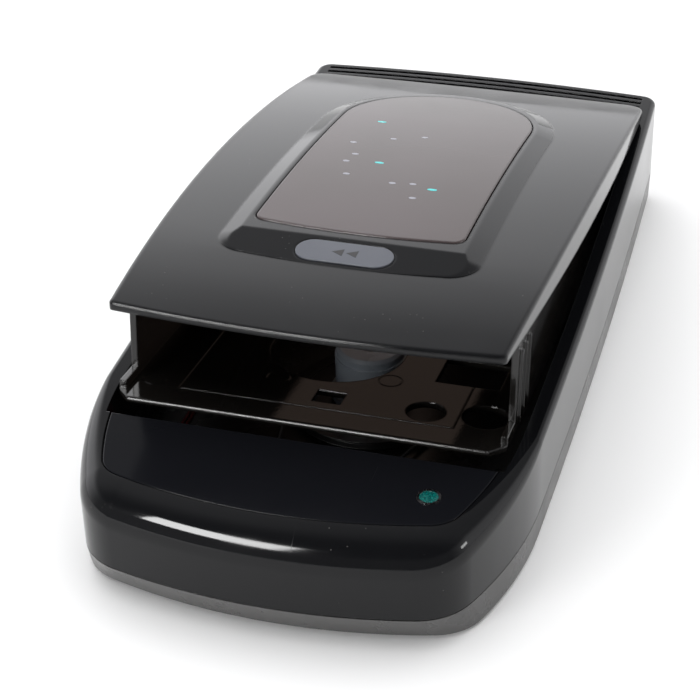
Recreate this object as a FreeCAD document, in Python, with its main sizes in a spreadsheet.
"""Pop-up video cassette rewinder, built as separate pieces in one document.

Frame: +X right, +Y back, +Z up, millimetres.  The origin is under the middle of the
casing, on the surface that the rubber feet stand on.  The lid is drawn level, in the
casing's frame, and every piece of it then gets the same placement, which tips the lid
open about a line across its back edge.
"""
import FreeCAD, Part
import math
import os
import Sketcher
from FreeCAD import Placement, Rotation, Vector

DOC = FreeCAD.newDocument("cassette_rewinder")
NODES = []

# ---------------------------------------------------------------- driving dimensions

SIZES = {
    # casing
    "case_half_width": 63.0,
    "case_front": -130.2,
    "case_rear": 133.8,
    "rear_radius": 660.0,
    "case_wide_y": 0.0,         # where the casing is widest
    "side_radius": 4000.0,      # the long sides are slightly bowed
    "shoulder_y": -72.0,        # where the sides start to turn in towards the front
    "shoulder_radius": 115.0,
    "front_corner": 18.0,
    "front_radius": 173.0,
    "rear_corner": 5.0,
    "case_wall": 2.2,
    "seam_z": 11.0,
    "seam_groove": 0.4,
    "belly_z": 1.4,             # underside of the lower casing
    "floor_z": 3.4,             # inside floor of the lower casing
    "belly_front_inset": 5.2,
    "belly_side_inset": 0.3,
    "rim_rear_z": 38.27,
    "rim_slope": 1.07,          # degrees, falling to the front
    "rim_width": 5.2,
    "rim_skin": 2.4,
    "front_round": 10.0,
    "corner_round": 8.0,        # the front's round shrinks along the corners and shoulders
    "side_round": 1.8,
    "bay_front": -88.9,
    "bay_rear": 117.2,
    "shelf_drop": 4.4,
    # front panel
    "panel_skin": 2.0,
    "panel_side_inset": 6.3,
    "panel_front_inset": 9.75,
    "panel_gap": 0.35,
    "led_x": 39.2,
    "led_y": -103.65,
    "led_radius": 2.5,
    # lid, drawn level
    "lid_tilt": 7.0,
    "lid_hinge_y": 108.05,      # line that the lid is tipped about
    "lid_hinge_z": 42.19,
    "lid_front": -84.75,
    "lid_rear": 116.5,
    "lid_front_half": 54.4,
    "lid_mid_half": 59.1,
    "lid_rear_half": 58.9,
    "lid_front_bow": 3.0,
    "lid_rear_bow": 1.6,
    "lid_edge": 1.93,
    "lid_crown": 7.0,
    "lid_skin": 2.2,
    "island_rise": 1.7,
    "island_half": 37.6,
    "island_front": -52.5,
    "island_top_front": -36.6,
    "island_rear": 100.0,
    "window_half": 30.6,
    "window_front": -35.6,
    "window_rear": 90.6,
    "window_shoulder": 58.0,    # where the round rear end of the window starts
    "window_gap": 0.4,
    "badge_length": 28.0,
    "badge_width": 10.0,
    # carrier, drawn level
    "bay_half": 52.7,
    "carrier_wall": 1.9,
    "carrier_floor_z": 13.8,
    "carrier_floor_skin": 1.8,
    "carrier_front": -83.4,
    "wall_front": -69.55,
    "carrier_stop": 114.3,
    # running gear
    "hub_x": 1.5,
    "drive_hub_y": -25.25,
    "hub_pitch": 92.0,          # between the two reels of the cassette
    "hub_radius": 10.5,
    "drive_hub_top": 25.0,
    "idler_hub_top": 18.3,
    "axle_radius": 1.5,
    "running_gap": 0.05,
    "belt_z": 5.6,
    "belt_radius": 0.8,
    "drive_pulley_radius": 24.0,
    "motor_pulley_radius": 4.2,
    "motor_x": -6.0,
    "motor_y": -106.2,
    "motor_radius": 15.0,
    "motor_base": 8.8,
    "motor_top": 26.0,
    "pivot_y": 110.0,           # lid hinge pins
    "pivot_z": 28.0,
    "pivot_radius": 2.0,
    "latch_x": 2.2,
    "latch_y": -67.5,
    "latch_z": 5.2,
    "latch_swing": 14.0,        # degrees, from held back to engaged
    "foot_radius": 6.0,
}

sheet = DOC.addObject("Spreadsheet::Sheet", "sizes")
for row, (alias, value) in enumerate(SIZES.items(), start=1):
    sheet.set(f"A{row}", alias)
    sheet.set(f"B{row}", str(value))
    sheet.setAlias(f"B{row}", alias)
DOC.recompute()


def number(value):
    """A size: a plain number, or what an expression of the sheet's cells comes to."""
    if isinstance(value, str):
        result = sheet.evalExpression(value)
        return float(getattr(result, "Value", result))
    return float(value)


def size(alias):
    return float(sheet.get(alias))


# ------------------------------------------------------------------------ small tools

UPRIGHT_YZ = Rotation(Vector(1, 1, 1), 120)    # sketch x runs along +Y, sketch y up
ALONG_X = Rotation(Vector(0, 1, 0), 90)
ALONG_Y = Rotation(Vector(1, 0, 0), -90)


def bind(thing, **sizes):
    """Set properties; a string is bound to the sheet as an expression."""
    for prop, value in sizes.items():
        if isinstance(value, str):
            thing.setExpression(prop, value)
        else:
            setattr(thing, prop, value)
    return thing


def put(thing, x=0, y=0, z=0, turn=None):
    """Place an object; each coordinate is a number or an expression."""
    thing.Placement = Placement(Vector(number(x), number(y), number(z)), turn or Rotation())
    for axis, value in (("x", x), ("y", y), ("z", z)):
        if isinstance(value, str):
            thing.setExpression(f"Placement.Base.{axis}", value)
    return thing


def node(thing, name, tipped=False):
    """Name a sub-part that is written out; a tipped one belongs to the open lid.

    The drawing's own zero lies a little ahead of the casing's middle, so each sub-part is
    moved to put the origin under the middle of the casing's length.
    """
    if thing.ExpressionEngine:
        thing.Label = name + "_drawn"
        thing = group(name + "_placed", [thing])
    if tipped:
        thing.Placement = LID_OPEN.multiply(thing.Placement)
    center = (size("case_front") + size("case_rear")) / 2
    thing.Placement = Placement(Vector(0, -center, 0), Rotation()).multiply(thing.Placement)
    thing.Label = name
    NODES.append(thing)
    return thing


def box(name, length, width, height, x, y, z):
    return put(bind(DOC.addObject("Part::Box", name), Length=length, Width=width, Height=height), x, y, z)


def block(name, low, high):
    """A box between two corners, each a triple of numbers or expressions."""
    spans = [f"({b}) - ({a})" for a, b in zip(low, high)]
    return box(name, *spans, *low)


def rod(name, radius, length, x, y, z, turn=None):
    return put(bind(DOC.addObject("Part::Cylinder", name), Radius=radius, Height=length), x, y, z, turn)


def cut(name, base, *tools):
    result = DOC.addObject("Part::Cut", name)
    result.Base = base
    result.Tool = tools[0] if len(tools) == 1 else group(name + "_tools", tools)
    return result


def fuse(name, *things):
    result = DOC.addObject("Part::MultiFuse", name)
    result.Shapes = list(things)
    return result


def common(name, first, second):
    result = DOC.addObject("Part::Common", name)
    result.Base = first
    result.Tool = second
    return result


def group(name, things):
    """Several separate solids kept together in one object."""
    result = DOC.addObject("Part::Compound", name)
    result.Links = list(things)
    return result


def made(name, shape, place=None):
    """A piece whose shape is worked out here rather than by a feature."""
    result = DOC.addObject("Part::Feature", name)
    result.Shape = shape
    if place:
        result.Placement = place
    return result


def line(a, b):
    return Part.LineSegment(Vector(*a, 0), Vector(*b, 0))


def arc(a, via, b):
    return Part.Arc(Vector(*a, 0), Vector(*via, 0), Vector(*b, 0))


def polygon(*points):
    return [line(a, b) for a, b in zip(points, points[1:] + points[:1])]


def rectangle(x0, y0, x1, y1):
    return polygon((x0, y0), (x1, y0), (x1, y1), (x0, y1))


def draw(sketch, *outlines):
    """Put closed outlines into a sketch, joined corner to corner and held in place."""
    for outline in outlines:
        first = sketch.GeometryCount
        sketch.addGeometry(outline, False)
        count = len(outline)
        for k in range(count):
            here = first + k
            after = first + (k + 1) % count
            ends = [(a, b) for a in (1, 2) for b in (1, 2)
                    if count > 1 and (sketch.getPoint(here, a) - sketch.getPoint(after, b)).Length < 1e-6]
            if ends:
                sketch.addConstraint(Sketcher.Constraint("Coincident", here, ends[0][0], after, ends[0][1]))
        for k in range(count):
            sketch.addConstraint(Sketcher.Constraint("Block", first + k))
    return sketch


def slab(name, outlines, thickness, z=0):
    """Outlines in plan, drawn as a sketch and extruded upwards from z."""
    sketch = draw(DOC.addObject("Sketcher::SketchObject", name + "_sketch"), *outlines)
    put(sketch, 0, 0, z)
    solid = bind(DOC.addObject("Part::Extrusion", name), LengthFwd=thickness)
    solid.Base = sketch
    solid.DirMode = "Normal"
    solid.Solid = True
    return solid


def profile(name, outlines, width, x=0):
    """Outlines seen from the side (y, z), extruded to both sides of x."""
    sketch = draw(DOC.addObject("Sketcher::SketchObject", name + "_sketch"), *outlines)
    put(sketch, x, 0, 0, UPRIGHT_YZ)
    solid = bind(DOC.addObject("Part::Extrusion", name), LengthFwd=width)
    solid.Base = sketch
    solid.DirMode = "Normal"
    solid.Symmetric = True
    solid.Solid = True
    return solid


def plane_of(body, role):
    return next(f for f in body.Origin.OriginFeatures if f.Role == role)


def body_sketch(body, name, role, outlines, lift=0):
    """A sketch on one of a body's own planes, lifted off it."""
    sketch = body.newObject("Sketcher::SketchObject", name)
    sketch.AttachmentSupport = (plane_of(body, role), "")
    sketch.MapMode = "FlatFace"
    sketch.AttachmentOffset = Placement(Vector(0, 0, number(lift)), Rotation())
    if isinstance(lift, str):
        sketch.setExpression("AttachmentOffset.Base.z", lift)
    return draw(sketch, *outlines)


def pad(body, name, outlines, length, lift=0, role="XY_Plane"):
    sketch = body_sketch(body, name + "_sketch", role, outlines, lift)
    feature = bind(body.newObject("PartDesign::Pad", name), Length=length)
    feature.Profile = sketch
    return feature


def pocket(body, name, outlines, depth, lift=0, role="XY_Plane", upwards=False):
    """Cut down from a lifted plane, or up from it."""
    before = body.Tip.Shape.Volume if body.Tip and not body.Tip.Shape.isNull() else 0
    sketch = body_sketch(body, name + "_sketch", role, outlines, lift)
    feature = bind(body.newObject("PartDesign::Pocket", name), Length=depth)
    feature.Profile = sketch
    feature.Reversed = upwards
    DOC.recompute()
    if before and feature.Shape.Volume > before - 1e-3:
        raise RuntimeError(name + " cuts nothing")
    return feature


def turned(name, points, place=(0, 0, 0)):
    """A piece of revolution about Z from half-section points (radius, height)."""
    body = DOC.addObject("PartDesign::Body", name)
    sketch = body_sketch(body, name + "_section", "XZ_Plane", [polygon(*points)])
    feature = body.newObject("PartDesign::Revolution", name + "_turn")
    feature.Profile = sketch
    feature.ReferenceAxis = (sketch, ["V_Axis"])
    feature.Angle = 360
    put(body, *place)
    DOC.recompute()
    return body


def circle(x, y, radius):
    return [Part.Circle(Vector(x, y, 0), Vector(0, 0, 1), radius)]


# --------------------------------------------------------------------------- outlines

LID_OPEN = Placement(
    Vector(0, 0, 0), Rotation(Vector(1, 0, 0), -size("lid_tilt")),
    Vector(0, size("lid_hinge_y"), size("lid_hinge_z")))


def level(y, z):
    """Where a point of the open lid lies when the lid is drawn level."""
    point = LID_OPEN.inverse().multVec(Vector(0, y, z))
    return point.y, point.z


def meet(center_a, radius_a, center_b, radius_b, side):
    """The meeting point of two circles that lies furthest towards a side."""
    gap = center_b - center_a
    along = (gap.Length ** 2 + radius_a ** 2 - radius_b ** 2) / (2 * gap.Length)
    out = math.sqrt(radius_a ** 2 - along ** 2)
    unit = gap.normalize()
    foot = center_a + unit * along
    across = Vector(-unit.y, unit.x, 0) * out
    return max((foot + across, foot - across), key=lambda p: p.dot(side))


def between(center, a, b, radius):
    """The point of an arc halfway between its two ends."""
    return center + ((a - center) + (b - center)).normalize() * radius


def case_outline(side_inset=0.0, front_inset=None, rear_inset=None):
    """The casing's plan: bowed sides that turn in at the front, a bowed front and back,
    and round corners, all tangent.
    """
    front_inset = side_inset if front_inset is None else front_inset
    rear_inset = side_inset if rear_inset is None else rear_inset
    side_r = size("side_radius") - side_inset
    side_c = Vector(size("case_half_width") - size("side_radius"), size("case_wide_y"), 0)
    turn_in = math.asin((size("shoulder_y") - side_c.y) / size("side_radius"))
    outward = Vector(math.cos(turn_in), math.sin(turn_in), 0)
    shoulder_r = size("shoulder_radius") - side_inset
    shoulder_c = side_c + outward * (size("side_radius") - size("shoulder_radius"))
    front_r = size("front_radius") - front_inset
    front_c = Vector(0, size("case_front") + size("front_radius"), 0)
    corner = max(size("front_corner") - (side_inset + front_inset) / 2, 1.0)
    middle = meet(shoulder_c, shoulder_r - corner, front_c, front_r - corner, Vector(1, -1, 0))
    on_side = side_c + outward * side_r
    on_shoulder = shoulder_c + (middle - shoulder_c).normalize() * shoulder_r
    on_front = front_c + (middle - front_c).normalize() * front_r

    rear_r = size("rear_radius") - rear_inset
    rear_c = Vector(0, size("case_rear") - size("rear_radius"), 0)
    tail = max(size("rear_corner") - side_inset, 0.5)
    back = meet(side_c, side_r - tail, rear_c, rear_r - tail, Vector(1, 1, 0))
    on_flank = side_c + (back - side_c).normalize() * side_r
    on_rear = rear_c + (back - rear_c).normalize() * rear_r

    right_half = [
        (on_front, between(middle, on_front, on_shoulder, corner), on_shoulder),
        (on_shoulder, between(shoulder_c, on_shoulder, on_side, shoulder_r), on_side),
        (on_side, side_c + Vector(side_r, 0, 0), on_flank),
        (on_flank, between(back, on_flank, on_rear, tail), on_rear),
    ]

    def flat(p, side=1):
        return side * p.x, p.y

    right = [arc(flat(a), flat(via), flat(b)) for a, via, b in right_half]
    left = [arc(flat(b, -1), flat(via, -1), flat(a, -1)) for a, via, b in reversed(right_half)]
    front = arc(flat(on_front, -1), (0, front_c.y - front_r), flat(on_front))
    behind = arc(flat(on_rear), (0, rear_c.y + rear_r), flat(on_rear, -1))
    return [front] + right + [behind] + left


def rim_z(y, drop=0.0):
    """Height of the casing's top, which falls gently to the front."""
    fall = math.tan(math.radians(size("rim_slope"))) * (size("case_rear") - y)
    return size("rim_rear_z") - fall - drop


def crown(y, lift=0.0):
    """Height of the lid's arched top over its level lower edge."""
    middle = (size("lid_front") - size("lid_front_bow") + size("lid_rear")) / 2
    half = (size("lid_rear") - size("lid_front") + size("lid_front_bow")) / 2
    sag = size("lid_crown")
    radius = (half ** 2 + sag ** 2) / (2 * sag)
    base = size("lid_hinge_z") + sag - radius
    return base + math.sqrt((radius + lift) ** 2 - (y - middle) ** 2)


def arch(half, front, rear, shoulder, corner, bow):
    """An upright window shape: bowed front with round corners and an elliptic far end."""
    center = Vector(0, shoulder, 0)
    side = Vector(half, shoulder, 0)
    tip = Vector(0, rear, 0)
    if rear - shoulder < half:
        far_end = Part.ArcOfEllipse(Part.Ellipse(side, tip, center), 0, math.pi)
    else:
        far_end = Part.ArcOfEllipse(Part.Ellipse(tip, side, center), -math.pi / 2, math.pi / 2)
    near = front + bow
    slope = corner * (1 - math.sqrt(0.5))
    return [
        arc((corner - half, near), (0, front), (half - corner, near)),
        arc((half - corner, near), (half - slope, near + slope), (half, near + corner)),
        line((half, near + corner), (half, shoulder)),
        far_end,
        line((-half, shoulder), (-half, near + corner)),
        arc((-half, near + corner), (slope - half, near + slope), (corner - half, near)),
    ]


def stadium(length, width, x=0.0, y=0.0):
    straight = (length - width) / 2
    radius = width / 2
    return [
        line((x - straight, y - radius), (x + straight, y - radius)),
        arc((x + straight, y - radius), (x + straight + radius, y), (x + straight, y + radius)),
        line((x + straight, y + radius), (x - straight, y + radius)),
        arc((x - straight, y + radius), (x - straight - radius, y), (x - straight, y - radius)),
    ]


def round_edges(name, base, choose, kind="Part::Fillet"):
    """Fillet or chamfer the edges for which choose(edge) gives two radii."""
    DOC.recompute()
    result = DOC.addObject(kind, name)
    result.Base = base
    picked = []
    for index, edge in enumerate(base.Shape.Edges, start=1):
        radii = choose(edge)
        if radii:
            picked.append((index, *radii))
    result.Edges = picked
    base.Visibility = False
    return result


# ----------------------------------------------------------------------- lower casing

SCREW_PLACES = [(-50, -101.5), (50, -101.5), (-52, 122.5), (52, 122.5)]
SPRING_PLACES = [(-42, 22), (42, 22)]
FOOT_PLACES = [(-38, -98), (38, -98), (-44, 106), (44, 106)]
COLUMN_RADIUS = 3.4
SCREW_RADIUS = 1.25
HEAD_RADIUS = 2.6
POST_TOP = 14.0
TONGUE_INSET = 1.2


def lofted(name, low, low_z, high, high_z):
    """A solid that runs smoothly from one plan outline to another."""
    sections = []
    for tag, outline, z in (("low", low, low_z), ("high", high, high_z)):
        sketch = draw(DOC.addObject("Sketcher::SketchObject", f"{name}_{tag}"), outline)
        sections.append(put(sketch, 0, 0, z))
    solid = DOC.addObject("Part::Loft", name)
    solid.Sections = sections
    solid.Solid = True
    solid.Ruled = True
    return solid


def lower_casing():
    wall = size("case_wall")
    belly_front = size("belly_front_inset")
    belly_side = size("belly_side_inset")
    outer = lofted(
        "belly_outer", case_outline(belly_side, belly_front, 0.8), "sizes.belly_z",
        case_outline(), "sizes.seam_z - sizes.seam_groove")
    hollow = lofted(
        "belly_hollow", case_outline(belly_side + wall, belly_front + wall - 0.9, wall + 0.8),
        "sizes.floor_z", case_outline(wall), "sizes.seam_z - sizes.seam_groove")
    tongue = cut(
        "tongue", slab("tongue_outer", [case_outline(TONGUE_INSET)], 2.6, "sizes.seam_z - 1.4"),
        slab("tongue_inner", [case_outline(wall)], 4.0, "sizes.seam_z - 2"))
    columns = [rod("column", COLUMN_RADIUS, POST_TOP - 2.0, x, y, 2.0) for x, y in SCREW_PLACES]
    seats = [rod("spring_post", 2.6, 5.0, x, y, 3.0) for x, y in SPRING_PLACES]
    bosses = [
        rod("axle_boss", 4.0, 1.2, "sizes.hub_x", "sizes.drive_hub_y", 2.8),
        rod("axle_boss", 4.0, 1.2, "sizes.hub_x", "sizes.drive_hub_y + sizes.hub_pitch", 2.8),
    ]
    locating_post = rod("locating_post", 4.4, 7.4, 29.6, -68.0, 3.0)
    release_post = rod("release_post", 1.9, 15.0, "sizes.hub_x", 20.75, 3.0)
    ears = [
        block("latch_ear", (x, -70.3, 3.0), (x + 1.2, -64.7, 6.9)) for x in (-1.1, 4.3)
    ]
    shell = cut("belly_shell", outer, hollow)
    solid = fuse("belly", shell, tongue, *columns, *seats, *bosses, locating_post, release_post, *ears)
    bores = [rod("screw_bore", SCREW_RADIUS + 0.25, 20, x, y, 0) for x, y in SCREW_PLACES]
    wells = [rod("screw_well", HEAD_RADIUS + 0.4, 6.6, x, y, 0) for x, y in SCREW_PLACES]
    sockets = [
        rod("axle_socket", "sizes.axle_radius", 3.0, "sizes.hub_x", "sizes.drive_hub_y", 2.0),
        rod("axle_socket", "sizes.axle_radius", 3.0, "sizes.hub_x",
            "sizes.drive_hub_y + sizes.hub_pitch", 2.0),
    ]
    pin_bore = rod("latch_bore", 0.8, 10, -2.0, "sizes.latch_y", "sizes.latch_z", ALONG_X)
    feet = [rod("foot_seat", size("foot_radius") + 0.2, 1.0, x, y, 1.0) for x, y in FOOT_PLACES]
    vents = [
        block("vent", (-17.5, y, 0.5), (17.5, y + 1.6, 4.5)) for y in (86, 91, 96, 101)
    ]
    node(cut("lower_casing", solid, *bores, *wells, *sockets, pin_bore, *feet, *vents), "lower_casing")


# ----------------------------------------------------------------------- upper casing

def top_profile(name, drop, front_chamfer, shelf=False):
    """Side view of everything under the sloping top, optionally with a lower front shelf."""
    low = size("seam_z")
    front = size("case_front") - 2
    rear = size("case_rear") + 2
    step = size("bay_front") + 1e-3
    if not shelf:
        points = [(front, low), (rear, low), (rear, rim_z(rear, drop)), (front, rim_z(front, drop))]
        return profile(name, [polygon(*points)], 160)
    under = size("shelf_drop")
    nose = size("case_front") + size("case_wall")
    points = [
        (front, low - 1), (rear, low - 1), (rear, rim_z(rear, drop)), (step, rim_z(step, drop)),
        (step, low + 9), (step - 1.5, low + 9), (step - 1.5, rim_z(step, under)),
        (nose + front_chamfer, rim_z(nose + front_chamfer, under)),
        (nose, rim_z(nose, under + front_chamfer)), (front, rim_z(nose, under + front_chamfer)),
    ]
    return profile(name, [polygon(*points)], 160)


def on_crest(edge, drop=0.0):
    """Whether an edge lies all along the casing's sloping top."""
    places = [edge.FirstParameter, edge.LastParameter, (edge.FirstParameter + edge.LastParameter) / 2]
    return all(abs(p.z - rim_z(p.y, drop)) < 0.05 for p in map(edge.valueAt, places))


def rounded_crest():
    """The solid block of the upper casing, with its top edge rounded.

    The round is large along the front, shrinks round the corners and shoulders, and is
    small along the sides and the back.
    """
    block_plan = slab("crest_plan", [case_outline()], 30.0, "sizes.seam_z")
    crest = common("crest_block", block_plan, top_profile("crest_top", 0.0, 0))
    corner_end = max(corner_places(crest, lambda y: y < size("shoulder_y") - 1))

    def radius_at(point):
        if point.y > corner_end + 0.1:
            return size("side_round")
        return size("corner_round") if point.y > corner_end - 0.1 else size("front_round")

    def radii(edge):
        if on_crest(edge):
            return [radius_at(edge.valueAt(end)) for end in (edge.FirstParameter, edge.LastParameter)]
        return None

    return round_edges("crest_rounded", crest, radii)


def corner_places(solid, wanted):
    """The y of each corner point along the top edge of a solid that is wanted."""
    DOC.recompute()
    return [v.Y for v in solid.Shape.Vertexes if wanted(v.Y) and abs(v.Z - rim_z(v.Y)) < 0.05]


def upper_casing():
    wall = size("case_wall")
    rim = size("rim_width")
    rounded = rounded_crest()
    inside = common(
        "crest_inside", slab("inside_block", [case_outline(wall)], 40.0, "sizes.seam_z - 2"),
        top_profile("inside_top", size("rim_skin"), 8.0, shelf=True))
    bay = common(
        "bay_cut", slab("bay_block", [case_outline(rim)], 40.0, "sizes.seam_z"),
        block("bay_limit", (-70, "sizes.bay_front", 0), (70, "sizes.bay_rear", 60)))
    recess = common(
        "panel_recess",
        slab("recess_block", [case_outline(size("panel_side_inset"), size("panel_front_inset"))], 40.0,
             "sizes.seam_z"),
        recess_slab("recess_slab", size("panel_skin"), -5.0, -1.0))
    shell = cut("crest_shell", rounded, inside, bay, recess)
    skirt = common(
        "skirt",
        cut("skirt_ring", slab("skirt_outer", [case_outline(rim - 1.4)], 12.0, 24.0),
            slab("skirt_inner", [case_outline(rim)], 40.0, 10.0)),
        common("skirt_limits", top_profile("skirt_top", 1.0, 0),
               block("skirt_limit", (-70, "sizes.bay_front - 1", 20), (70, 98.0, 60))))
    bosses = []
    for x, y in SCREW_PLACES:
        roof = rim_z(y, size("shelf_drop") if y < 0 else size("rim_skin")) + 0.8
        bosses.append(rod("crest_boss", COLUMN_RADIUS, roof - POST_TOP - 0.2, x, y, POST_TOP + 0.2))
    solid = fuse("crest_solid", shell, skirt, *bosses)
    bores = [rod("crest_bore", SCREW_RADIUS, 12.0, x, y, POST_TOP - 1) for x, y in SCREW_PLACES]
    grooves = [slab("rib_groove", [rib_groove(k)], 8.0, rim_z(size("case_rear")) - 1.5) for k in range(4)]
    led_hole = rod("led_hole", 2.9, 12, "sizes.led_x", "sizes.led_y", 25)
    jack_hole = rod("jack_hole", 3.75, 12, JACK_X, JACK_FACE - 6, JACK_Z, ALONG_Y)
    rebate = slab("rebate", [case_outline(TONGUE_INSET - 0.15)], 2.5, "sizes.seam_z - 1")
    node(cut("upper_casing", solid, *bores, *grooves, led_hole, jack_hole, rebate), "upper_casing")


def rib_groove(k):
    """Plan of one of the shallow grooves across the rear bar, bowed like its rear edge."""
    half = 56.4
    far = size("case_rear") - 3.1 - 3.1 * k
    near = far - 1.6
    sag = half ** 2 / (2 * size("rear_radius"))
    return [
        arc((half, far - sag), (0, far), (-half, far - sag)), line((-half, far - sag), (-half, near - sag)),
        arc((-half, near - sag), (0, near), (half, near - sag)), line((half, near - sag), (half, far - sag)),
    ]


def recess_slab(name, depth, rise, past=0.0):
    """A thin sloping slice under the casing's top, over the front shelf."""
    front = size("case_front")
    rear = size("bay_front") - past
    points = [
        (front, rim_z(front, depth)), (rear, rim_z(rear, depth)),
        (rear, rim_z(rear, rise)), (front, rim_z(front, rise)),
    ]
    return profile(name, [polygon(*points)], 150)


def front_panel():
    gap = size("panel_gap")
    blank = common(
        "panel_blank",
        slab("panel_block", [case_outline(size("panel_side_inset") + gap, size("panel_front_inset") + gap)],
             40.0, "sizes.seam_z"),
        recess_slab("panel_slab", size("panel_skin") - 0.02, 0.0))
    eased = round_edges("panel_eased", blank, lambda edge: (0.35, 0.35) if on_crest(edge) else None)
    hole = rod("panel_led_hole", 3.25, 12, "sizes.led_x", "sizes.led_y", 25)
    node(cut("front_panel", eased, hole), "front_panel")


# ------------------------------------------------------------------------ status light

def status_light():
    x = size("led_x")
    y = size("led_y")
    top = rim_z(y)
    radius = size("led_radius")
    lens = turned("led_lens", [
        (0, top - 4.6), (radius, top - 4.6), (radius, top), (radius * 0.72, top + 0.35), (0, top + 0.5)],
        (x, y, 0))
    node(lens, "led_lens")
    collar = turned("led_collar_ring", [
        (radius + 0.05, top - 1.9), (3.2, top - 1.9), (3.2, top + 0.15), (radius + 0.05, top + 0.15)],
        (x, y, 0))
    notches = []
    for k in range(24):
        angle = math.radians(15 * k)
        notches.append(rod("collar_notch", 0.16, 1.0, x + 3.2 * math.cos(angle), y + 3.2 * math.sin(angle),
                           top - 0.5))
    node(cut("led_collar", collar, *notches), "led_collar")
    bulb = fuse(
        "led_bulb", rod("led_dome", 1.5, 6.0, x, y, top - 11.0),
        rod("led_flange", 1.9, 1.0, x, y, top - 11.0),
        rod("led_leg", 0.25, top - 11.0 - BOARD_TOP + 0.5, x - 1.0, y, BOARD_TOP - 0.5),
        rod("led_leg", 0.25, top - 11.0 - BOARD_TOP + 0.5, x + 1.0, y, BOARD_TOP - 0.5))
    node(bulb, "led_diode")


# --------------------------------------------------------------------------- lid cover

def lid_outline(inset=0.0):
    front = size("lid_front") + inset
    rear = size("lid_rear") - inset
    near = size("lid_front_half") - inset
    mid = size("lid_mid_half") - inset
    far = size("lid_rear_half") - inset
    bow = size("lid_front_bow")
    corner = 7.0 - inset
    nose = 1.6
    slope = corner * (1 - math.sqrt(0.5))
    ease = nose * (1 - math.sqrt(0.5))
    return [
        arc((nose - near, front), (0, front - bow), (near - nose, front)),
        arc((near - nose, front), (near - ease, front + ease), (near, front + nose)),
        arc((near, front + nose), (mid, 16), (far, rear - corner)),
        arc((far, rear - corner), (far - slope, rear - slope), (far - corner, rear)),
        arc((far - corner, rear), (0, rear + size("lid_rear_bow")), (corner - far, rear)),
        arc((corner - far, rear), (slope - far, rear - slope), (-far, rear - corner)),
        arc((-far, rear - corner), (-mid, 16), (-near, front + nose)),
        arc((-near, front + nose), (ease - near, front + ease), (nose - near, front)),
    ]


def under_crown(name, lift, front, rear, base, width, extra=()):
    """Side view of the space under the lid's arch, raised or lowered by a lift."""
    middle = (front + rear) / 2
    bulge = arc((rear, crown(rear, lift)), (middle, crown(middle, lift)), (front, crown(front, lift)))
    path = [(front, crown(front, lift)), *extra, (front if not extra else extra[-1][0], base), (rear, base),
            (rear, crown(rear, lift))]
    return profile(name, [[bulge] + [line(a, b) for a, b in zip(path, path[1:])]], width)


def lid_cover():
    edge_z = size("lid_hinge_z") - size("lid_edge")
    rise = size("island_rise")
    front = size("lid_front") - size("lid_front_bow") - 1
    rear = size("lid_rear") + size("lid_rear_bow") + 1
    plate = common("lid_arched", slab("lid_block", [lid_outline()], 16.0, edge_z),
                   under_crown("lid_arch", 0.0, front, rear, edge_z - 1, 140))

    def top_rim(edge):
        ends = [edge.valueAt(t) for t in (edge.FirstParameter, edge.LastParameter)]
        ends.append(edge.valueAt((edge.FirstParameter + edge.LastParameter) / 2))
        on_top = all(abs(p.z - crown(p.y)) < 0.02 for p in ends)
        return (0.9, 0.9) if on_top else None

    plate = round_edges("lid_eased", plate, top_rim)
    island_outline = arch(size("island_half"), size("island_front"), size("island_rear"),
                          size("window_shoulder"), 9.0, 2.0)
    slope_top = size("island_top_front")
    foot = size("island_front")
    far = size("island_rear") + 2
    island = common("island_raw", slab("island_block", [island_outline], 12.0, edge_z + 0.6),
                    under_crown("island_arch", rise, foot - 1, far, edge_z, 140))

    def island_rim(edge):
        ends = [edge.valueAt(t) for t in (edge.FirstParameter, edge.LastParameter)]
        ends.append(edge.valueAt((edge.FirstParameter + edge.LastParameter) / 2))
        return (1.5, 5.2) if all(p.z > crown(p.y) + 0.3 for p in ends) else None

    island = round_edges("island_eased", island, island_rim, "Part::Chamfer")
    island = common("island_sloped", island, under_crown(
        "island_slope", rise + 0.3, slope_top, far + 1, edge_z - 1, 160,
        extra=[(foot - 0.5, crown(foot) - 0.06)]))
    gap = size("window_gap")
    window = arch(size("window_half") + gap, size("window_front") - gap, size("window_rear") + gap,
                  size("window_shoulder"), 4.0, 1.8)
    ledge = 2.6
    sight = arch(size("window_half") - ledge, size("window_front") + ledge, size("window_rear") - ledge,
                 size("window_shoulder"), 3.0, 1.8)
    recess = cut("window_recess", slab("recess_tall", [window], 20.0, edge_z + 1),
                 under_crown("recess_floor", -0.35, size("window_front") - 6, size("window_rear") + 6,
                             edge_z - 5, 140))
    opening = slab("window_opening", [sight], 20.0, edge_z - 1)
    hollow = under_crown("lid_hollow", -size("lid_skin"), -58.0, 112.0, edge_z - 1, 104)
    badge_seat = made("badge_seat", badge_solid(0.2, -0.35, 3.0))
    solid = fuse("lid_solid", plate, island)
    node(cut("lid_cover", solid, hollow, recess, opening, badge_seat), "lid_cover", tipped=True)


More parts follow.
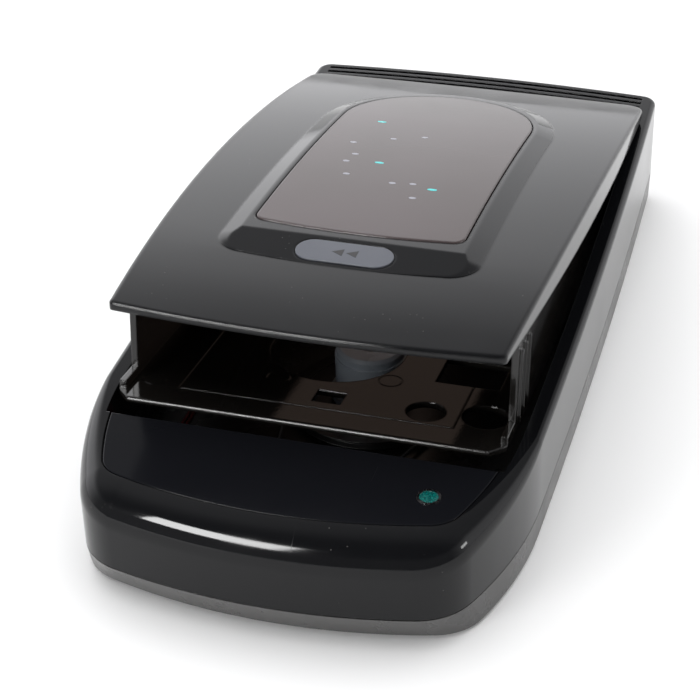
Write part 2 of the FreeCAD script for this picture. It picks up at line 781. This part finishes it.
def window_lens():
    outline = arch(size("window_half"), size("window_front"), size("window_rear"), size("window_shoulder"),
                   3.6, 1.8)
    front = size("window_front") - 4
    rear = size("window_rear") + 4
    tall = common("lens_tall", slab("lens_block", [outline], 20.0, 40.0),
                  under_crown("lens_top", size("island_rise") + 0.25, front, rear, 38.0, 140))

    def rim(edge):
        ends = [edge.valueAt(t) for t in (edge.FirstParameter, edge.LastParameter)]
        high = all(p.z > crown(p.y) + 1.2 for p in ends)
        return (0.45, 0.45) if high else None

    eased = round_edges("lens_eased", tall, rim)
    lens = cut("window_lens", eased, under_crown("lens_under", -0.33, front, rear, 37.0, 140))
    node(lens, "window_lens", tipped=True)
    inner = arch(size("window_half") - 2.8, size("window_front") + 2.8, size("window_rear") - 2.8,
                 size("window_shoulder"), 2.8, 1.8)
    plate = common("backing_tall", slab("backing_block", [inner], 20.0, 40.0),
                   under_crown("backing_top", -0.5, front, rear, 38.0, 140))
    backing = cut("window_backing", plate, under_crown("backing_under", -1.6, front, rear, 37.0, 140))
    node(backing, "window_backing", tipped=True)


def badge_solid(margin, sink, height):
    """A pill lying on the raised frame's front slope."""
    foot_y = size("island_front") - 0.5
    foot_z = crown(size("island_front")) - 0.06
    top_y = size("island_top_front")
    top_z = crown(top_y, size("island_rise"))
    angle = math.degrees(math.atan2(top_z - foot_z, top_y - foot_y))
    y = -45.9
    z = foot_z + (y - foot_y) * (top_z - foot_z) / (top_y - foot_y)
    outline = stadium(size("badge_length") + 2 * margin, size("badge_width") + 2 * margin)
    face = Part.Face(Part.Wire([g.toShape() for g in outline]))
    solid = face.extrude(Vector(0, 0, height))
    solid.translate(Vector(0, 0, sink))
    solid.rotate(Vector(), Vector(1, 0, 0), angle)
    solid.translate(Vector(0, y, z))
    return solid


def badge():
    solid = badge_solid(0.0, -0.33, 0.73)
    top = [e for e in solid.Edges if e.CenterOfMass.z > solid.CenterOfMass.z + 0.1 and len(e.Vertexes) == 2]
    flat = [e for e in top if abs(e.tangentAt(e.FirstParameter).z) < 0.5]
    node(made("badge_plate", solid.makeFillet(0.2, flat)), "badge", tipped=True)


# ------------------------------------------------------------------- cassette carrier

RELEASE_Y = 20.75
LEVEL_PIVOT = level(size("pivot_y"), size("pivot_z"))


def cassette_carrier():
    body = DOC.addObject("PartDesign::Body", "carrier_tray")
    half = size("bay_half")
    wall = size("carrier_wall")
    outer = half + wall
    front = size("carrier_front")
    stop = size("carrier_stop")
    back = stop + wall
    floor = "sizes.carrier_floor_z - sizes.carrier_floor_skin"
    tall = "sizes.lid_hinge_z - sizes.lid_edge - sizes.carrier_floor_z"
    pad(body, "floor_plate", [polygon(
        (-50.5, front), (50.5, front), (53.8, front + 3.6), (outer, front + 4.6), (outer, back),
        (-outer, back), (-outer, front + 4.6), (-53.8, front + 3.6))], "sizes.carrier_floor_skin", floor)
    DOC.recompute()
    plate = body.Tip
    edges = [f"Edge{k}" for k, e in enumerate(plate.Shape.Edges, start=1)
             if max(v.Y for v in e.Vertexes) < front + 0.1 and e.Length > 5]
    sill = body.newObject("PartDesign::Fillet", "sill")
    sill.Base = (plate, edges)
    sill.Radius = 0.8
    DOC.recompute()
    pad(body, "walls", [polygon(
        (-outer, size("wall_front")), (-half, size("wall_front")), (-half, stop), (half, stop),
        (half, size("wall_front")), (outer, size("wall_front")), (outer, back), (-outer, back))],
        tall, "sizes.carrier_floor_z")
    lips = [rectangle(side * outer, front + 4.9, side * half, size("wall_front") + 0.5) for side in (-1, 1)]
    pad(body, "side_lips", lips, 2.2, "sizes.carrier_floor_z")
    ribs = [rectangle(side * outer, y, side * (outer + 0.7), y + 1.2)
            for side in (-1, 1) for y in (-66.5, -61.5, -56.5)]
    pad(body, "wall_ribs", ribs, 22.0, "sizes.carrier_floor_z")
    DOC.recompute()
    drive = size("drive_hub_y")
    holes = [
        stadium_along_y(-3.5, -38.75, -6.0, 19.5),
        circle(-0.5, drive + size("hub_pitch") + 1.2, 19.5),
        circle(29.6, -67.05, 5.6),
        rectangle(-1.9, -70.25, 6.3, -63.25),
        rectangle(27.8, -49.25, 46.0, -34.0),
        circle(45.8, -65.3, 6.6),
        circle(size("hub_x"), RELEASE_Y + 1.2, 6.0),
    ]
    pocket(body, "floor_holes", holes, 6.0, "sizes.carrier_floor_z + 1")
    seam = 39.1
    seam_front = -74.15
    thin = 0.35
    moulding_lines = {
        "front": rectangle(-seam, seam_front, seam, seam_front + thin),
        "left": rectangle(-seam, seam_front + thin, thin - seam, 60),
        "right": rectangle(seam - thin, seam_front + thin, seam, 60),
    }
    for side, outline in moulding_lines.items():
        pocket(body, "moulding_line_" + side, [outline], 0.3, "sizes.carrier_floor_z")
    rings = []
    for x, y in ((15.7, -52.5), (-14.5, -59.5), (-47.0, -71.0)):
        rings.append(circle(x, y, 3.5))
        rings.append(circle(x, y, 3.15))
    pocket(body, "ejector_marks", rings, 0.15, "sizes.carrier_floor_z")
    DOC.recompute()
    y, z = LEVEL_PIVOT
    knuckles = [rod("knuckle", 4.5, 0.7, side, y, z, ALONG_X) for side in (-outer - 0.7, outer)]
    sunk = [rod("knuckle_bore", "sizes.pivot_radius", 8, side - 4, y, z, ALONG_X)
            for side in (-outer, outer)]
    node(cut("carrier", fuse("carrier_knuckles", body, *knuckles), *sunk), "cassette_carrier", tipped=True)


def stadium_along_y(x, near, far, radius):
    return [
        arc((x - radius, near), (x, near - radius), (x + radius, near)),
        line((x + radius, near), (x + radius, far)),
        arc((x + radius, far), (x, far + radius), (x - radius, far)),
        line((x - radius, far), (x - radius, near)),
    ]


def carrier_fittings():
    """Leaf springs that press the cassette down, and the pad that it stops against."""
    springs = []
    lowest = size("lid_hinge_z") - size("lid_edge") - 0.6
    leaf = 0.5
    tab_near, near, middle, far, tab_far = -36, -30, 10, 50, 56

    def roof(y, drop=0.05):
        return y, crown(y) - size("lid_skin") - drop

    for x in (-40.5, 40.5):
        bow = [
            line(roof(tab_near), roof(near)),
            arc(roof(near), (middle, lowest), roof(far)),
            line(roof(far), roof(tab_far)),
            line(roof(tab_far), roof(tab_far, leaf)),
            line(roof(tab_far, leaf), roof(far, leaf)),
            arc(roof(far, leaf), (middle, lowest - leaf), roof(near, leaf)),
            line(roof(near, leaf), roof(tab_near, leaf)),
            line(roof(tab_near, leaf), roof(tab_near)),
        ]
        springs.append(profile("leaf", [bow], 8.0, x))
    node(group("hold_down_springs", springs), "hold_down_springs", tipped=True)
    foam = block("foam", (-18, "sizes.carrier_stop - 1.5", 20), (18, "sizes.carrier_stop", 32))
    node(group("stop_pad", [foam]), "stop_pad", tipped=True)


# -------------------------------------------------------------------------- lid hinge

def hinge():
    outer = size("bay_half") + size("carrier_wall")
    y = size("pivot_y")
    z = size("pivot_z")
    ears = []
    foot = size("floor_z")
    ear_thick = 1.9
    for side in (-1, 1):
        middle = side * 56.7
        plate = profile("hinge_ear", [[
            line((y - 5, foot), (y + 5, foot)), line((y + 5, foot), (y + 5, z)),
            arc((y + 5, z), (y, z + 5), (y - 5, z)), line((y - 5, z), (y - 5, foot))]], ear_thick, middle)
        bore = rod("ear_bore", "sizes.pivot_radius + sizes.running_gap", 8, middle - 4, y, z, ALONG_X)
        ears.append(cut("ear", plate, bore))
    node(group("hinge_brackets", ears), "hinge_brackets")
    pin_length = 4.6
    pins = [rod("pin", "sizes.pivot_radius", pin_length, start, y, z, ALONG_X)
            for start in (-outer + 1.6 - pin_length, outer - 1.6)]
    node(group("hinge_pins", pins), "hinge_pins")
    coils = []
    turns = 5.5
    height = 17.6
    coil_radius = 3.7
    wire_radius = 0.42
    for spring_x, spring_y in SPRING_PLACES:
        helix = Part.makeHelix(height / turns, height, coil_radius)
        ring = Part.Wire(Part.makeCircle(wire_radius, Vector(coil_radius, 0, 0), Vector(0, 1, 0)))
        coil = Part.Wire(helix).makePipeShell([ring], True, True)
        coils.append(made("coil", coil, Placement(Vector(spring_x, spring_y, foot + 0.5), Rotation())))
    node(group("lift_springs", coils), "lift_springs")


# ------------------------------------------------------------------------ running gear

def hubs():
    x = size("hub_x")
    near = size("drive_hub_y")
    far = near + size("hub_pitch")
    bore = size("axle_radius") + size("running_gap")
    radius = size("hub_radius")
    top = size("drive_hub_top")
    rim = size("drive_pulley_radius")
    mid = size("belt_z")
    groove = size("belt_radius") + 0.12
    wheel = turned("drive_pulley", [
        (bore, 4.45), (8, 4.45), (8, 4.9), (rim - 3, 4.9), (rim - 3, mid - 1.2), (rim + 0.7, mid - 1.2),
        (rim + 0.7, mid - groove - 0.1), (rim - 0.6, mid - 0.3), (rim - 0.6, mid + 0.3),
        (rim + 0.7, mid + groove + 0.1), (rim + 0.7, mid + 1.2), (rim - 3, mid + 1.2), (rim - 3, 6.3),
        (12, 6.3), (12, 7.0), (bore, 7.0)], (x, near, 0))
    node(wheel, "drive_pulley")
    felt = turned("clutch_felt", [(4, 7.02), (11.6, 7.02), (11.6, 7.98), (4, 7.98)], (x, near, 0))
    node(felt, "clutch_felt")
    step = 3.5
    spindle = turned("spindle_core", [
        (bore, 8.0), (12.2, 8.0), (12.2, 9.6), (radius, 10.0), (radius, top - step),
        (radius + 0.25, top - step),
        (radius + 0.25, top - step + 0.5), (radius - 0.3, top - step + 0.6), (radius - 0.3, top - 0.9),
        (radius - 1.2, top), (4.2, top), (4.2, top - 3.6), (bore, top - 3.6)], (x, near, 0))
    fins = []
    for k in range(3):
        turn = Rotation(Vector(0, 0, 1), 120 * k - 64)
        start = turn.multVec(Vector(radius - 1.0, -0.6, 0))
        fin = box("fin", 1.7, 1.2, top - step - 11.0, x + start.x, near + start.y, 9.0)
        fin.Placement.Rotation = turn
        fins.append(fin)
    node(fuse("drive_spindle", spindle, *fins), "drive_spindle")
    low = size("idler_hub_top")
    idler = turned("idler_core", [
        (bore, 5.0), (14, 5.0), (14, 6.6), (radius, 7.4), (radius, low - 2.6), (radius - 0.4, low - 2.2),
        (radius - 0.4, low - 0.8), (radius - 1.2, low), (4.2, low), (4.2, low - 3.6), (bore, low - 3.6)],
        (x, far, 0))
    fins = []
    for k in range(3):
        turn = Rotation(Vector(0, 0, 1), 120 * k + 26)
        start = turn.multVec(Vector(radius - 1.0, -0.6, 0))
        fin = box("fin", 1.7, 1.2, low - 11.0, x + start.x, far + start.y, 7.0)
        fin.Placement.Rotation = turn
        fins.append(fin)
    node(fuse("idler_spindle", idler, *fins), "idler_spindle")
    axles = [rod("axle", "sizes.axle_radius", "sizes.drive_hub_top - 3.6", x, near, 2.0),
             rod("axle", "sizes.axle_radius", "sizes.idler_hub_top - 3.6", x, far, 2.0)]
    node(group("hub_axles", axles), "hub_axles")
    washers = []
    for y, low_z, thick in ((near, 4.0, 0.4), (far, 4.0, 0.9)):
        ring = cut("washer_ring", rod("washer", 3.6, thick, x, y, low_z),
                   rod("washer_bore", "sizes.axle_radius", 2, x, y, low_z - 0.5))
        washers.append(ring)
    node(group("hub_washers", washers), "hub_washers")
    clips = []
    for y, height in ((near, top - 3.1), (far, low - 3.1)):
        clip = cut("clip_ring", rod("clip", 3.2, 0.6, x, y, height),
                   rod("clip_bore", "sizes.axle_radius", 2, x, y, height - 0.5),
                   box("clip_mouth", 2.0, 4.0, 2.0, x - 1.0, y, height - 0.5))
        clips.append(clip)
    node(group("axle_clips", clips), "axle_clips")


def belt_path():
    """The belt's centre line: two tangent runs and the wraps on both pulleys."""
    big = Vector(size("hub_x"), size("drive_hub_y"), 0)
    small = Vector(size("motor_x"), size("motor_y"), 0)
    big_r = size("drive_pulley_radius") + 0.35
    small_r = size("motor_pulley_radius") + 0.35
    gap = small - big
    lean = math.acos((big_r - small_r) / gap.Length)
    heading = math.atan2(gap.y, gap.x)

    def on(center, radius, angle):
        return center + Vector(math.cos(angle), math.sin(angle), 0) * radius

    a = heading + lean
    b = heading - lean
    return [
        Part.Arc(on(big, big_r, a), on(big, big_r, heading + math.pi), on(big, big_r, b)),
        Part.LineSegment(on(big, big_r, b), on(small, small_r, b)),
        Part.Arc(on(small, small_r, b), on(small, small_r, heading), on(small, small_r, a)),
        Part.LineSegment(on(small, small_r, a), on(big, big_r, a)),
    ]


def drive_belt():
    path = belt_path()
    start = path[1].StartPoint
    along = (path[1].EndPoint - path[1].StartPoint).normalize()
    wire = Part.Wire([path[k].toShape() for k in (1, 2, 3, 0)])
    ring = Part.Wire(Part.makeCircle(size("belt_radius") - 0.3, start, along))
    belt = wire.makePipeShell([ring], True, False)
    node(made("belt", belt, Placement(Vector(0, 0, size("belt_z")), Rotation())), "drive_belt")


TAB_SPREAD = 8.0


def motor():
    x = size("motor_x")
    y = size("motor_y")
    base = size("motor_base")
    top = size("motor_top")
    radius = size("motor_radius")
    can = turned("motor_can", [
        (1.6, base), (radius - 1.2, base), (radius, base + 1.2), (radius, top), (radius - 1.6, top),
        (radius - 1.6, base + 1.6), (1.6, base + 1.6)], (x, y, 0))
    node(can, "motor_can")
    end = cut("motor_end", turned("end_disc", [
        (0, top - 1.6), (radius - 1.65, top - 1.6), (radius - 1.65, top), (6, top), (5, top + 0.8),
        (0, top + 0.8)],
        (x, y, 0)), rod("end_hole", 0.9, 1.4, x, y, top - 1.8))
    tabs = [block("tab", (x + side - 0.8, y - 0.2, top - 0.3), (x + side + 0.8, y + 0.2, top + 2.2))
            for side in (-TAB_SPREAD, TAB_SPREAD)]
    node(fuse("motor_end_cap", end, *tabs), "motor_end_cap")
    armature = turned("armature", [
        (0, 4.2), (0.75, 4.2), (0.75, base + 3), (radius - 5, base + 3), (radius - 5, top - 4),
        (0.75, top - 4),
        (0.75, top - 1.0), (0, top - 1.0)], (x, y, 0))
    node(armature, "motor_armature")
    small = size("motor_pulley_radius")
    mid = size("belt_z")
    pulley = turned("motor_pulley", [
        (0.75, mid - 1.3), (small + 1.2, mid - 1.3), (small + 1.2, mid - 0.95), (small - 0.5, mid - 0.3),
        (small - 0.5, mid + 0.3), (small + 1.2, mid + 0.95), (small + 1.2, mid + 1.3), (2.4, mid + 1.3),
        (2.4, mid + 1.8), (0.75, mid + 1.8)], (x, y, 0))
    node(pulley, "motor_pulley")
    bearing = turned(
        "motor_bearing", [(0.8, base - 0.6), (1.6, base - 0.6), (1.6, base + 2.0), (0.8, base + 2.0)],
                     (x, y, 0))
    node(bearing, "motor_bearing")
    bracket_low = base - 1.2
    feet = [(x - 20, y), (x + 19.5, y + 8)]
    outline = [circle(x, y, radius + 0.5), circle(x, y, 4.5)]
    plate = slab("bracket_plate", outline, 1.1, bracket_low)
    arms = []
    pillars = []
    grommets = []
    screws = []
    for fx, fy in feet:
        low = min(fx, x) if fx < x else x + 14
        high = x - 14 if fx < x else fx
        arms.append(block("arm", (low, fy - 4, bracket_low), (high, fy + 4, bracket_low + 1.1)))
        arms.append(rod("arm_end", 4.0, 1.1, fx, fy, bracket_low))
        pillars.append(rod("arm_hole", 2.2, 4, fx, fy, bracket_low - 1))
        grommet = turned("grommet", [
            (1.3, 3.4), (3.4, 3.4), (3.4, bracket_low - 0.02), (2.15, bracket_low), (2.15, bracket_low + 1.1),
            (3.4, bracket_low + 1.12), (3.4, bracket_low + 2.4), (1.3, bracket_low + 2.4)], (fx, fy, 0))
        grommets.append(grommet)
        screws.append(fuse("motor_screw", rod("shank", 1.25, bracket_low - 1.0, fx, fy, 3.4),
                           rod("head", 2.8, 1.3, fx, fy, bracket_low + 2.4)))
    bracket = cut("motor_bracket", fuse("bracket_arms", plate, *arms),
                  *pillars, rod("bracket_middle", 4.5, 4, x, y, bracket_low - 1))
    node(bracket, "motor_bracket")
    node(group("motor_grommets", grommets), "motor_grommets")
    node(group("motor_screws", screws), "motor_screws")


# --------------------------------------------------------------------- lid catch, switch

def catch():
    """The hook that holds the lid down, drawn engaged and then swung back, as with the lid up."""
    x = size("latch_x")
    y = size("latch_y")
    z = size("latch_z")
    outline = [
        arc((y - 1.5, z), (y, z - 1.5), (y + 1.5, z)),
        line((y + 1.5, z), (y + 0.5, z + 3.0)),
        line((y + 0.5, z + 3.0), (y + 0.5, z + 6.3)),
        line((y + 0.5, z + 6.3), (y - 2.4, z + 8.2)),
        line((y - 2.4, z + 8.2), (y - 5.4, z + 4.75)),
        line((y - 5.4, z + 4.75), (y - 1.4, z + 4.55)),
        line((y - 1.4, z + 4.55), (y - 1.5, z)),
    ]
    hook = cut("latch_hook", profile("hook_blank", [outline], 3.4, x),
               rod("hook_bore", 0.85, 8, x - 4, y, z, ALONG_X))
    hook.Placement = Placement(
        Vector(), Rotation(Vector(1, 0, 0), -size("latch_swing")), Vector(0, y, z))
    node(hook, "latch_hook")
    node(rod("latch_pin", 0.8, 6.4, -1.0, y, z, ALONG_X), "latch_pin")
    leaf = block("latch_spring", (x - 1.0, y + 2.0, 3.4), (x + 1.0, y + 2.3, 7.4))
    node(leaf, "latch_spring")


SWITCH_Y = -92.0
SWITCH_Z = 7.6
LEVER_REST = 14.0


def lid_switch():
    body = block("switch_block", (-45, -101, 3.4), (-33, -90.6, 6.9))
    cheeks = [block("switch_cheek", (x, -93.4, 6.5), (x + 0.9, -90.9, 8.6)) for x in (-42.4, -36.5)]
    pins = [rod("switch_terminal", 0.35, 3.0, x, -102.5, 5.0, ALONG_Y) for x in (-43, -39, -35)]
    node(fuse("lid_switch_body", body, *cheeks, *pins), "lid_switch_body")
    turn = Rotation(Vector(1, 0, 0), LEVER_REST)
    axle = rod("lever_axle", 0.5, 4.6, -41.3, SWITCH_Y, SWITCH_Z, ALONG_X)
    blade = box("lever_blade", 4.2, 12.0, 0.4, -41.1, SWITCH_Y, SWITCH_Z)
    tip = turn.multVec(Vector(0, 0, -0.2))
    put(blade, -41.1, SWITCH_Y + tip.y, SWITCH_Z + tip.z, turn)
    node(fuse("switch_lever", axle, blade), "switch_lever")


# -------------------------------------------------------------------------- electrics

BOARD_Z = 16.0
BOARD_SKIN = 1.6
BOARD_TOP = BOARD_Z + BOARD_SKIN
JACK_X = -38.0
JACK_FACE = 130.0
JACK_Z = 19.0


def circuit_board():
    body = DOC.addObject("PartDesign::Body", "circuit_board")
    pad(body, "board_plate", [polygon((14, -119), (40, -119), (44, -113), (44, -91.5), (14, -91.5))],
        BOARD_SKIN, BOARD_Z)
    DOC.recompute()
    screw_places = [(18, -115), (40, -95)]
    holes = [circle(x, y, 1.6) for x, y in screw_places]
    pocket(body, "board_holes", holes, 4.0, BOARD_TOP + 1)
    node(body, "circuit_board")
    screws = []
    stands = []
    for x, y in screw_places:
        screws.append(fuse("board_screw", rod("shank", 1.25, 6.0, x, y, BOARD_TOP - 6),
                           rod("head", 2.5, 1.2, x, y, BOARD_TOP)))
        stands.append(cut("standoff", rod("stand", 3.0, BOARD_Z - 3.4, x, y, 3.4),
                          rod("stand_bore", 1.25, 8, x, y, BOARD_Z - 4.4)))
    node(group("board_screws", screws), "board_screws")
    node(group("board_standoffs", stands), "board_standoffs")
    legs = [block("leg", (22.2 + 2.54 * k, y, BOARD_TOP - 0.5), (22.7 + 2.54 * k, y + 0.4, BOARD_TOP + 1.6))
            for k in range(4) for y in (-109.6, -102.2)]
    body = block("chip_body", (21, -109.2, BOARD_TOP + 0.4), (31.4, -102.2, BOARD_TOP + 3.8))
    node(fuse("chip", body, *legs),
         "control_chip")
    cans = [rod("can", radius, height, x, y, BOARD_TOP + 0.2)
            for x, y, radius, height in ((19, -96.5, 3.1, 9.0), (27, -96, 2.5, 8.0))]
    node(group("capacitors", cans), "capacitors")
    tab = block("tab", (34, -118.2, BOARD_TOP + 1), (38, -117.6, BOARD_TOP + 9.5))
    package = block("package", (34, -117.6, BOARD_TOP + 1), (38, -115.2, BOARD_TOP + 6.5))
    pins = [block("pin", (34.4 + 1.25 * k, -116.7, BOARD_TOP - 0.5),
                  (34.9 + 1.25 * k, -116.2, BOARD_TOP + 1.1))
            for k in range(3)]
    node(fuse("transistor", tab, package, *pins), "power_transistor")
    resistors = []
    for x in (24, 28, 32):
        core = rod("resistor_core", 1.1, 5.0, x, -117.2, BOARD_TOP + 1.3, ALONG_Y)
        wire = rod("resistor_wire", 0.3, 7.4, x, -118.4, BOARD_TOP + 1.3, ALONG_Y)
        resistors.append(fuse("resistor", core, wire))
    node(group("resistors", resistors), "resistors")


def dc_inlet():
    x = JACK_X
    z = JACK_Z
    housing = block("jack_block", (x - 4.5, JACK_FACE - 9.9, z - 5.5), (x + 4.5, JACK_FACE, z + 5.5))
    barrel = rod("jack_barrel", 3.6, 3.0, x, JACK_FACE - 0.9, z, ALONG_Y)
    socket = rod("jack_socket", 2.75, 9.0, x, JACK_FACE - 6.7, z, ALONG_Y)
    node(cut("dc_jack", fuse("jack_solid", housing, barrel), socket,
             rod("jack_pin_seat", 1.05, 4, x, JACK_FACE - 8.9, z, ALONG_Y)), "dc_jack")
    pin = rod("jack_pin", 1.05, 8.0, x, JACK_FACE - 8.7, z, ALONG_Y)
    node(pin, "dc_jack_pin")
    rest = block("jack_rest", (x - 4.0, JACK_FACE - 9.4, 3.4), (x + 4.0, JACK_FACE - 0.9, z - 5.52))
    node(rest, "jack_support")


LEAD_RADIUS = 0.5
WIDEST_BEND = 6.0


def lead(name, points):
    """A wire along straight runs, joined by tangent arcs as wide as the runs leave room for."""
    edges = []
    last = points[0]
    for before, here, after in zip(points, points[1:], points[2:]):
        into = here - before
        out = after - here
        shorter = min(into.Length, out.Length)
        into.normalize()
        out.normalize()
        half_turn = into.getAngle(out) / 2
        bend = min(WIDEST_BEND, 0.45 * shorter / math.tan(half_turn))
        reach = bend * math.tan(half_turn)
        a = here - into * reach
        b = here + out * reach
        inward = (out - into).normalize()
        center = here + inward * (bend / math.cos(half_turn))
        edges.append(Part.LineSegment(last, a).toShape())
        edges.append(Part.Arc(a, center - inward * bend, b).toShape())
        last = b
    edges.append(Part.LineSegment(last, points[-1]).toShape())
    path = Part.Wire(edges)
    ring = Part.Wire(Part.makeCircle(LEAD_RADIUS, points[0], points[1] - points[0]))
    return made(name, path.makePipeShell([ring], True, False))


def leads():
    low = size("floor_z") + LEAD_RADIUS + 0.2
    exit_x = JACK_X + 4.5
    exit_y = JACK_FACE - 5.4
    exit_z = JACK_Z - 4.0
    side_x = -50.0
    cross_y = -57.0
    board_x = 18.6
    board_y = -93.5
    supply = []
    for s in (0.0, 1.3):
        supply.append(lead("supply_wire", [
            Vector(exit_x, exit_y, exit_z + s), Vector(exit_x + 6.5 + s, exit_y, exit_z + s),
            Vector(exit_x + 6.5 + s, 114, low), Vector(side_x + s, 100, low),
            Vector(side_x + s, cross_y + s, low), Vector(board_x + s, cross_y + s, low),
            Vector(board_x + s, board_y, low), Vector(board_x + s, board_y, BOARD_Z + 0.6)]))
    node(group("power_leads", supply), "power_leads")
    x = size("motor_x")
    y = size("motor_y")
    high = size("motor_top") + 1.5
    board_x = 15.5
    runs = [
        lead("motor_wire", [
            Vector(x - TAB_SPREAD, y - 0.2, high), Vector(x - TAB_SPREAD, y - 5.5, high),
            Vector(board_x, y - 5.5, high), Vector(board_x, y - 5.5, BOARD_TOP - 0.4)]),
        lead("motor_wire", [
            Vector(x + TAB_SPREAD + 0.8, y, high), Vector(board_x, y, high),
            Vector(board_x, y, BOARD_TOP - 0.4)]),
    ]
    node(group("motor_leads", runs), "motor_leads")


# ------------------------------------------------------------------- feet and fasteners

def feet_and_screws():
    feet = []
    for x, y in FOOT_PLACES:
        feet.append(turned("foot", [
            (0, 0), (size("foot_radius") - 0.6, 0), (size("foot_radius"), 0.6),
            (size("foot_radius"), 2.0), (0, 2.0)],
            (x, y, 0)))
    node(group("rubber_feet", feet), "rubber_feet")
    screws = []
    for x, y in SCREW_PLACES:
        head = rod("screw_head", HEAD_RADIUS, 1.8, x, y, 4.8)
        slot_a = box("slot", 3.0, 0.6, 0.8, x - 1.5, y - 0.3, 4.7)
        slot_b = box("slot", 0.6, 3.0, 0.8, x - 0.3, y - 1.5, 4.7)
        shank = rod("screw_shank", SCREW_RADIUS, 16.0, x, y, 6.4)
        screws.append(cut("casing_screw", fuse("screw_solid", head, shank), slot_a, slot_b))
    node(group("casing_screws", screws), "casing_screws")


# ------------------------------------------------------------------------- everything

upper_casing()
lower_casing()
front_panel()
status_light()
lid_cover()
window_lens()
badge()
cassette_carrier()
carrier_fittings()
hinge()
hubs()
drive_belt()
motor()
catch()
lid_switch()
circuit_board()
dc_inlet()
leads()
feet_and_screws()
DOC.recompute()

for thing in DOC.Objects:
    if any(word in thing.State for word in ("Invalid", "Error")):
        raise RuntimeError(f"{thing.Name} failed: {thing.State}")

os.makedirs("parts", exist_ok=True)
for thing in NODES:
    shape = thing.Shape
    if shape.isNull() or not shape.isValid() or not shape.Solids:
        raise RuntimeError(f"{thing.Label} has no valid solid")
for thing in NODES:
    thing.Shape.exportStep(f"parts/{thing.Label}.step")
    low = thing.Shape.BoundBox
    print(f"{thing.Label:20s} {len(thing.Shape.Solids):3d} solid(s) {thing.Shape.Volume / 1000:8.2f} cm3 "
          f"x {low.XMin:7.1f} {low.XMax:7.1f} y {low.YMin:7.1f} {low.YMax:7.1f} "
          f"z {low.ZMin:6.1f} {low.ZMax:6.1f}")
